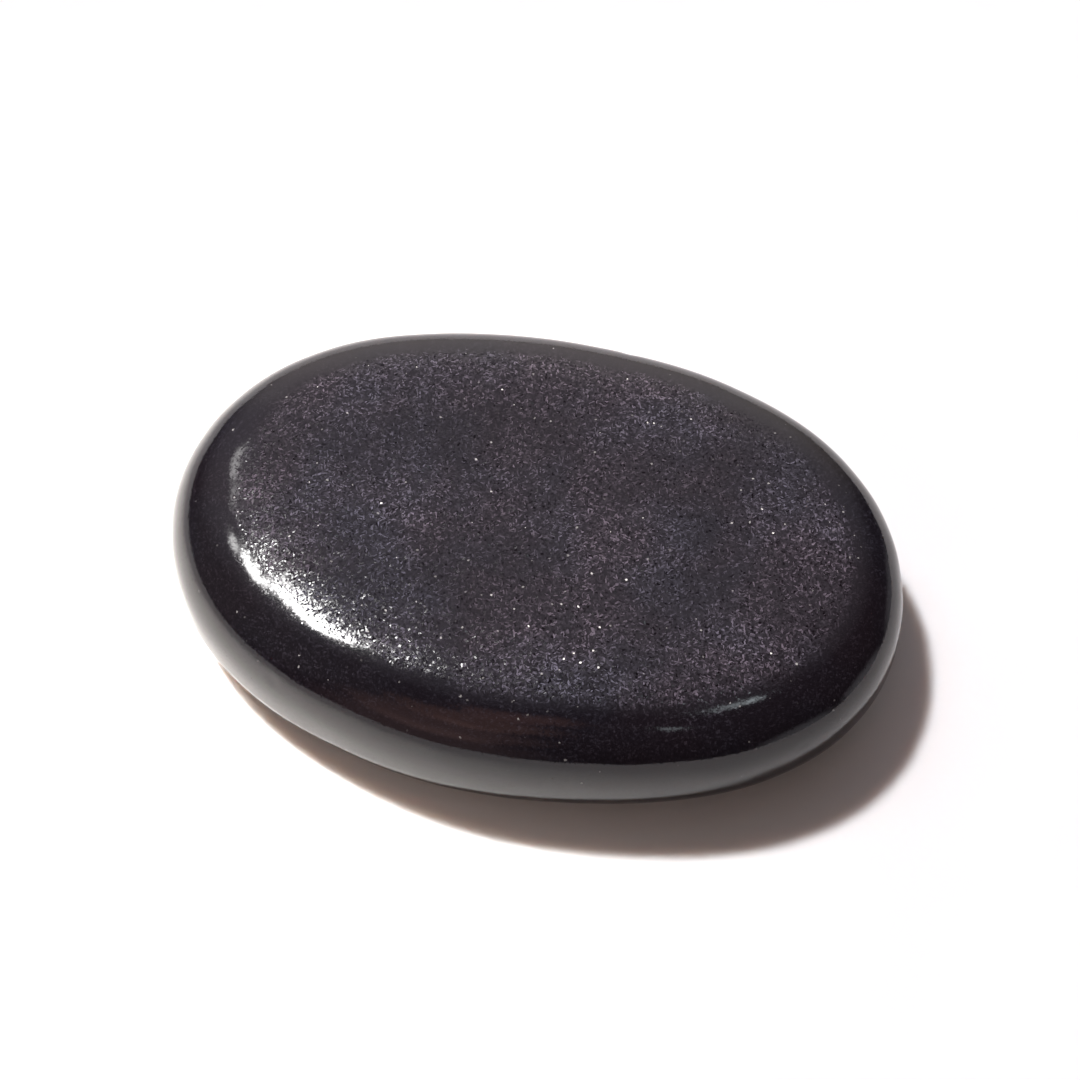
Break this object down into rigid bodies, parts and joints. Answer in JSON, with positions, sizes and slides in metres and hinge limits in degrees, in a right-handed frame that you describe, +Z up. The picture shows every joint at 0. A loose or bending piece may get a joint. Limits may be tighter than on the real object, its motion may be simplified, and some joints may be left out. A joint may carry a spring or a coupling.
{
  "type": "basalt massage stone",
  "caption": "Flat oval pebble of polished dark basalt with a rounded side, warmed and laid on or stroked over the body in a massage.",
  "frame": {"origin": "on the surface the stone lies on, under the middle of its outline", "axes": "+X along the stone towards its slightly narrower end, +Y across it, +Z up out of its top face"},
  "size_m": [0.08, 0.0558, 0.0162],
  "materials": {
    "polished_basalt": "satin"
  },
  "bodies": {
    "root": {"basalt_stone": "polished_basalt"}
  },
  "joints": []
}
